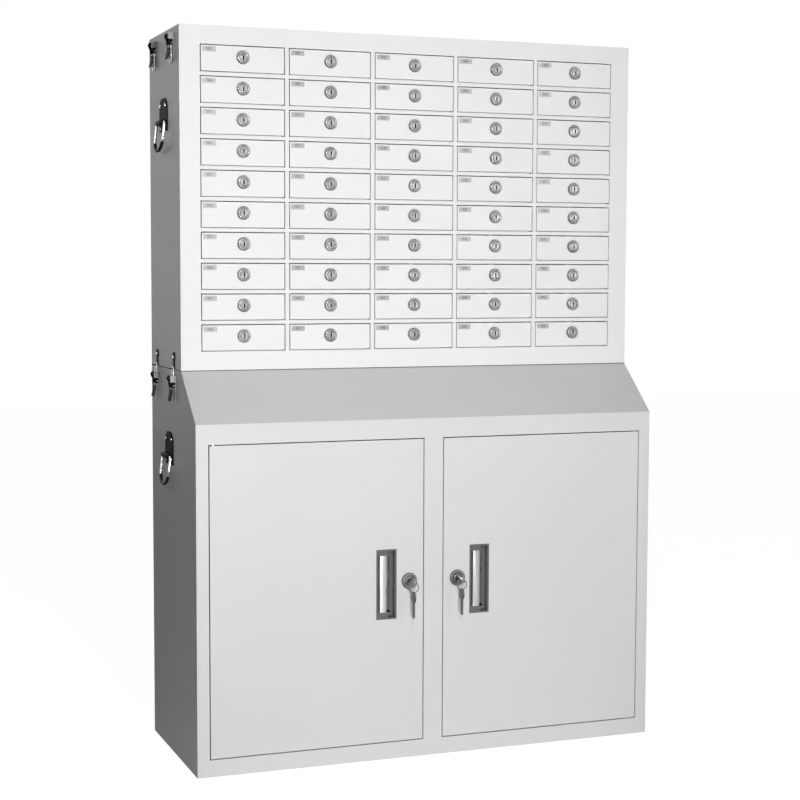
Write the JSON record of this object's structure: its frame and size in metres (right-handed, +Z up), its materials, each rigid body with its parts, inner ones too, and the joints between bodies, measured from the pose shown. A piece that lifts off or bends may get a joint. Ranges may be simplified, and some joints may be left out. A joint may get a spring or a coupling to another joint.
{
  "type": "phone locker cabinet",
  "caption": "Steel phone locker: rows of small lockable sliding drawers on a deeper double-door base cabinet with sloped shoulder, side carry handles and draw latches.",
  "frame": {"origin": "centre of the base cabinet's footprint on the floor", "axes": "+Z up, +Y to the back, the doors and drawers face -Y, +X to the right as seen from the front"},
  "size_m": [0.9306, 0.3795, 1.34],
  "materials": {
    "body_paint": "semi-gloss powder coat",
    "drawer_paint": "semi-gloss powder coat",
    "pull_dark": "satin dark grey",
    "lock_chrome": "polished",
    "key_steel": "nickel plated",
    "black_hardware": "black",
    "wire_chrome": "polished"
  },
  "bodies": {
    "cabinet": {"base_shell": "body_paint", "base_front_frame": "body_paint", "base_sloped_top": "body_paint", "base_shelf": "body_paint", "door_pivot_pins": "body_paint", "upper_shell": "body_paint", "upper_face_frame": "body_paint", "drawer_shelves": "body_paint", "drawer_dividers": "body_paint", "locked_drawers": "drawer_paint", "locked_drawer_locks": "lock_chrome", "carry_handle_plates": "black_hardware", "latch_plates": "black_hardware", "latch_strikes": "black_hardware"},
    "left_door": {"left_door_panel": "body_paint", "left_door_pull": "pull_dark", "left_door_lock": "lock_chrome"},
    "right_door": {"right_door_panel": "body_paint", "right_door_pull": "pull_dark", "right_door_lock": "lock_chrome"},
    "left_key": {"left_door_key": "key_steel"},
    "left_ring": {"left_key_ring": "key_steel"},
    "right_key": {"right_door_key": "key_steel"},
    "right_ring": {"right_key_ring": "key_steel"},
    "upper_left_bail": {"upper_left_handle_bail": "wire_chrome"},
    "upper_right_bail": {"upper_right_handle_bail": "wire_chrome"},
    "lower_left_bail": {"lower_left_handle_bail": "wire_chrome"},
    "lower_right_bail": {"lower_right_handle_bail": "wire_chrome"},
    "seam_left_front_lever": {"seam_left_front_latch_lever": "black_hardware"},
    "seam_left_front_loop": {"seam_left_front_latch_loop": "wire_chrome"},
    "seam_left_rear_lever": {"seam_left_rear_latch_lever": "black_hardware"},
    "seam_left_rear_loop": {"seam_left_rear_latch_loop": "wire_chrome"},
    "top_left_lever": {"top_left_latch_levers": "black_hardware"},
    "top_left_loop": {"top_left_latch_loops": "wire_chrome"},
    "seam_right_front_lever": {"seam_right_front_latch_lever": "black_hardware"},
    "seam_right_front_loop": {"seam_right_front_latch_loop": "wire_chrome"},
    "seam_right_rear_lever": {"seam_right_rear_latch_lever": "black_hardware"},
    "seam_right_rear_loop": {"seam_right_rear_latch_loop": "wire_chrome"},
    "top_right_lever": {"top_right_latch_levers": "black_hardware"},
    "top_right_loop": {"top_right_latch_loops": "wire_chrome"},
    "drawer_row1_column1": {"drawer_row1_column1": "drawer_paint"},
    "drawer_row1_column2": {"drawer_row1_column2": "drawer_paint"},
    "drawer_row1_column3": {"drawer_row1_column3": "drawer_paint"},
    "drawer_row1_column4": {"drawer_row1_column4": "drawer_paint"},
    "drawer_row1_column5": {"drawer_row1_column5": "drawer_paint"},
    "drawer_row2_column1": {"drawer_row2_column1": "drawer_paint"},
    "drawer_row2_column2": {"drawer_row2_column2": "drawer_paint"},
    "drawer_row2_column3": {"drawer_row2_column3": "drawer_paint"},
    "drawer_row2_column4": {"drawer_row2_column4": "drawer_paint"},
    "drawer_row2_column5": {"drawer_row2_column5": "drawer_paint"},
    "drawer_row3_column1": {"drawer_row3_column1": "drawer_paint"},
    "drawer_row3_column2": {"drawer_row3_column2": "drawer_paint"},
    "drawer_row3_column3": {"drawer_row3_column3": "drawer_paint"},
    "drawer_row3_column4": {"drawer_row3_column4": "drawer_paint"},
    "drawer_row3_column5": {"drawer_row3_column5": "drawer_paint"},
    "drawer_row4_column1": {"drawer_row4_column1": "drawer_paint"},
    "drawer_row4_column2": {"drawer_row4_column2": "drawer_paint"},
    "drawer_row4_column3": {"drawer_row4_column3": "drawer_paint"},
    "drawer_row4_column4": {"drawer_row4_column4": "drawer_paint"},
    "drawer_row4_column5": {"drawer_row4_column5": "drawer_paint"}
  },
  "joints": [
    {"name": "left_door_hinge", "type": "hinge", "parent": "cabinet", "child": "left_door", "pos_m": [-0.4185, -0.1675, 0.3], "axis": [0, 0, -1], "range_deg": [0, 110]},
    {"name": "right_door_hinge", "type": "hinge", "parent": "cabinet", "child": "right_door", "pos_m": [0.4185, -0.1675, 0.3], "axis": [0, 0, 1], "range_deg": [0, 110]},
    {"name": "left_key_turn", "type": "hinge", "parent": "left_door", "child": "left_key", "pos_m": [-0.04795, -0.1725, 0.332], "axis": [0, -1, 0], "range_deg": [0, 90]},
    {"name": "left_ring_swing", "type": "hinge", "parent": "left_key", "child": "left_ring", "pos_m": [-0.04795, -0.2025, 0.332], "axis": [0, -1, 0], "range_deg": [-90, 0]},
    {"name": "right_key_turn", "type": "hinge", "parent": "right_door", "child": "right_key", "pos_m": [0.04795, -0.1725, 0.332], "axis": [0, 1, 0], "range_deg": [0, 90]},
    {"name": "right_ring_swing", "type": "hinge", "parent": "right_key", "child": "right_ring", "pos_m": [0.04795, -0.2025, 0.332], "axis": [0, 1, 0], "range_deg": [-90, 0]},
    {"name": "upper_left_bail_swing", "type": "hinge", "parent": "cabinet", "child": "upper_left_bail", "pos_m": [-0.456, 0.054, 1.1745], "axis": [0, 1, 0], "range_deg": [0, 88]},
    {"name": "upper_right_bail_swing", "type": "hinge", "parent": "cabinet", "child": "upper_right_bail", "pos_m": [0.456, 0.054, 1.1745], "axis": [0, -1, 0], "range_deg": [0, 88]},
    {"name": "lower_left_bail_swing", "type": "hinge", "parent": "cabinet", "child": "lower_left_bail", "pos_m": [-0.456, 0.026, 0.5585], "axis": [0, 1, 0], "range_deg": [0, 88]},
    {"name": "lower_right_bail_swing", "type": "hinge", "parent": "cabinet", "child": "lower_right_bail", "pos_m": [0.456, 0.026, 0.5585], "axis": [0, -1, 0], "range_deg": [0, 88]},
    {"name": "seam_left_front_lever_turn", "type": "hinge", "parent": "cabinet", "child": "seam_left_front_lever", "pos_m": [-0.4575, -0.015, 0.704], "axis": [0, 1, 0], "range_deg": [0, 140]},
    {"name": "seam_left_front_loop_swing", "type": "hinge", "parent": "seam_left_front_lever", "child": "seam_left_front_loop", "pos_m": [-0.4535, -0.015, 0.692], "axis": [0, 1, 0], "range_deg": [-140, 0]},
    {"name": "seam_left_rear_lever_turn", "type": "hinge", "parent": "cabinet", "child": "seam_left_rear_lever", "pos_m": [-0.4575, 0.121, 0.704], "axis": [0, 1, 0], "range_deg": [0, 140]},
    {"name": "seam_left_rear_loop_swing", "type": "hinge", "parent": "seam_left_rear_lever", "child": "seam_left_rear_loop", "pos_m": [-0.4535, 0.121, 0.692], "axis": [0, 1, 0], "range_deg": [-140, 0]},
    {"name": "top_left_lever_turn", "type": "hinge", "parent": "cabinet", "child": "top_left_lever", "pos_m": [-0.4575, 0.053, 1.324], "axis": [0, 1, 0], "range_deg": [0, 140]},
    {"name": "top_left_loop_swing", "type": "hinge", "parent": "top_left_lever", "child": "top_left_loop", "pos_m": [-0.4535, 0.053, 1.312], "axis": [0, 1, 0], "range_deg": [-140, 0]},
    {"name": "seam_right_front_lever_turn", "type": "hinge", "parent": "cabinet", "child": "seam_right_front_lever", "pos_m": [0.4575, -0.015, 0.704], "axis": [0, -1, 0], "range_deg": [0, 140]},
    {"name": "seam_right_front_loop_swing", "type": "hinge", "parent": "seam_right_front_lever", "child": "seam_right_front_loop", "pos_m": [0.4535, -0.015, 0.692], "axis": [0, -1, 0], "range_deg": [-140, 0]},
    {"name": "seam_right_rear_lever_turn", "type": "hinge", "parent": "cabinet", "child": "seam_right_rear_lever", "pos_m": [0.4575, 0.121, 0.704], "axis": [0, -1, 0], "range_deg": [0, 140]},
    {"name": "seam_right_rear_loop_swing", "type": "hinge", "parent": "seam_right_rear_lever", "child": "seam_right_rear_loop", "pos_m": [0.4535, 0.121, 0.692], "axis": [0, -1, 0], "range_deg": [-140, 0]},
    {"name": "top_right_lever_turn", "type": "hinge", "parent": "cabinet", "child": "top_right_lever", "pos_m": [0.4575, 0.053, 1.324], "axis": [0, -1, 0], "range_deg": [0, 140]},
    {"name": "top_right_loop_swing", "type": "hinge", "parent": "top_right_lever", "child": "top_right_loop", "pos_m": [0.4535, 0.053, 1.312], "axis": [0, -1, 0], "range_deg": [-140, 0]},
    {"name": "slide_row1_column1", "type": "slide", "parent": "cabinet", "child": "drawer_row1_column1", "axis": [0, -1, 0], "range_m": [0, 0.18]},
    {"name": "slide_row1_column2", "type": "slide", "parent": "cabinet", "child": "drawer_row1_column2", "axis": [0, -1, 0], "range_m": [0, 0.18]},
    {"name": "slide_row1_column3", "type": "slide", "parent": "cabinet", "child": "drawer_row1_column3", "axis": [0, -1, 0], "range_m": [0, 0.18]},
    {"name": "slide_row1_column4", "type": "slide", "parent": "cabinet", "child": "drawer_row1_column4", "axis": [0, -1, 0], "range_m": [0, 0.18]},
    {"name": "slide_row1_column5", "type": "slide", "parent": "cabinet", "child": "drawer_row1_column5", "axis": [0, -1, 0], "range_m": [0, 0.18]},
    {"name": "slide_row2_column1", "type": "slide", "parent": "cabinet", "child": "drawer_row2_column1", "axis": [0, -1, 0], "range_m": [0, 0.18]},
    {"name": "slide_row2_column2", "type": "slide", "parent": "cabinet", "child": "drawer_row2_column2", "axis": [0, -1, 0], "range_m": [0, 0.18]},
    {"name": "slide_row2_column3", "type": "slide", "parent": "cabinet", "child": "drawer_row2_column3", "axis": [0, -1, 0], "range_m": [0, 0.18]},
    {"name": "slide_row2_column4", "type": "slide", "parent": "cabinet", "child": "drawer_row2_column4", "axis": [0, -1, 0], "range_m": [0, 0.18]},
    {"name": "slide_row2_column5", "type": "slide", "parent": "cabinet", "child": "drawer_row2_column5", "axis": [0, -1, 0], "range_m": [0, 0.18]},
    {"name": "slide_row3_column1", "type": "slide", "parent": "cabinet", "child": "drawer_row3_column1", "axis": [0, -1, 0], "range_m": [0, 0.18]},
    {"name": "slide_row3_column2", "type": "slide", "parent": "cabinet", "child": "drawer_row3_column2", "axis": [0, -1, 0], "range_m": [0, 0.18]},
    {"name": "slide_row3_column3", "type": "slide", "parent": "cabinet", "child": "drawer_row3_column3", "axis": [0, -1, 0], "range_m": [0, 0.18]},
    {"name": "slide_row3_column4", "type": "slide", "parent": "cabinet", "child": "drawer_row3_column4", "axis": [0, -1, 0], "range_m": [0, 0.18]},
    {"name": "slide_row3_column5", "type": "slide", "parent": "cabinet", "child": "drawer_row3_column5", "axis": [0, -1, 0], "range_m": [0, 0.18]},
    {"name": "slide_row4_column1", "type": "slide", "parent": "cabinet", "child": "drawer_row4_column1", "axis": [0, -1, 0], "range_m": [0, 0.18]},
    {"name": "slide_row4_column2", "type": "slide", "parent": "cabinet", "child": "drawer_row4_column2", "axis": [0, -1, 0], "range_m": [0, 0.18]},
    {"name": "slide_row4_column3", "type": "slide", "parent": "cabinet", "child": "drawer_row4_column3", "axis": [0, -1, 0], "range_m": [0, 0.18]},
    {"name": "slide_row4_column4", "type": "slide", "parent": "cabinet", "child": "drawer_row4_column4", "axis": [0, -1, 0], "range_m": [0, 0.18]},
    {"name": "slide_row4_column5", "type": "slide", "parent": "cabinet", "child": "drawer_row4_column5", "axis": [0, -1, 0], "range_m": [0, 0.18]}
  ],
  "couplings": [
    {"joint": "left_ring_swing", "follows": "left_key_turn", "ratio": -1},
    {"joint": "right_ring_swing", "follows": "right_key_turn", "ratio": -1},
    {"joint": "seam_left_front_loop_swing", "follows": "seam_left_front_lever_turn", "ratio": -1},
    {"joint": "seam_left_rear_loop_swing", "follows": "seam_left_rear_lever_turn", "ratio": -1},
    {"joint": "top_left_loop_swing", "follows": "top_left_lever_turn", "ratio": -1},
    {"joint": "seam_right_front_loop_swing", "follows": "seam_right_front_lever_turn", "ratio": -1},
    {"joint": "seam_right_rear_loop_swing", "follows": "seam_right_rear_lever_turn", "ratio": -1},
    {"joint": "top_right_loop_swing", "follows": "top_right_lever_turn", "ratio": -1}
  ]
}
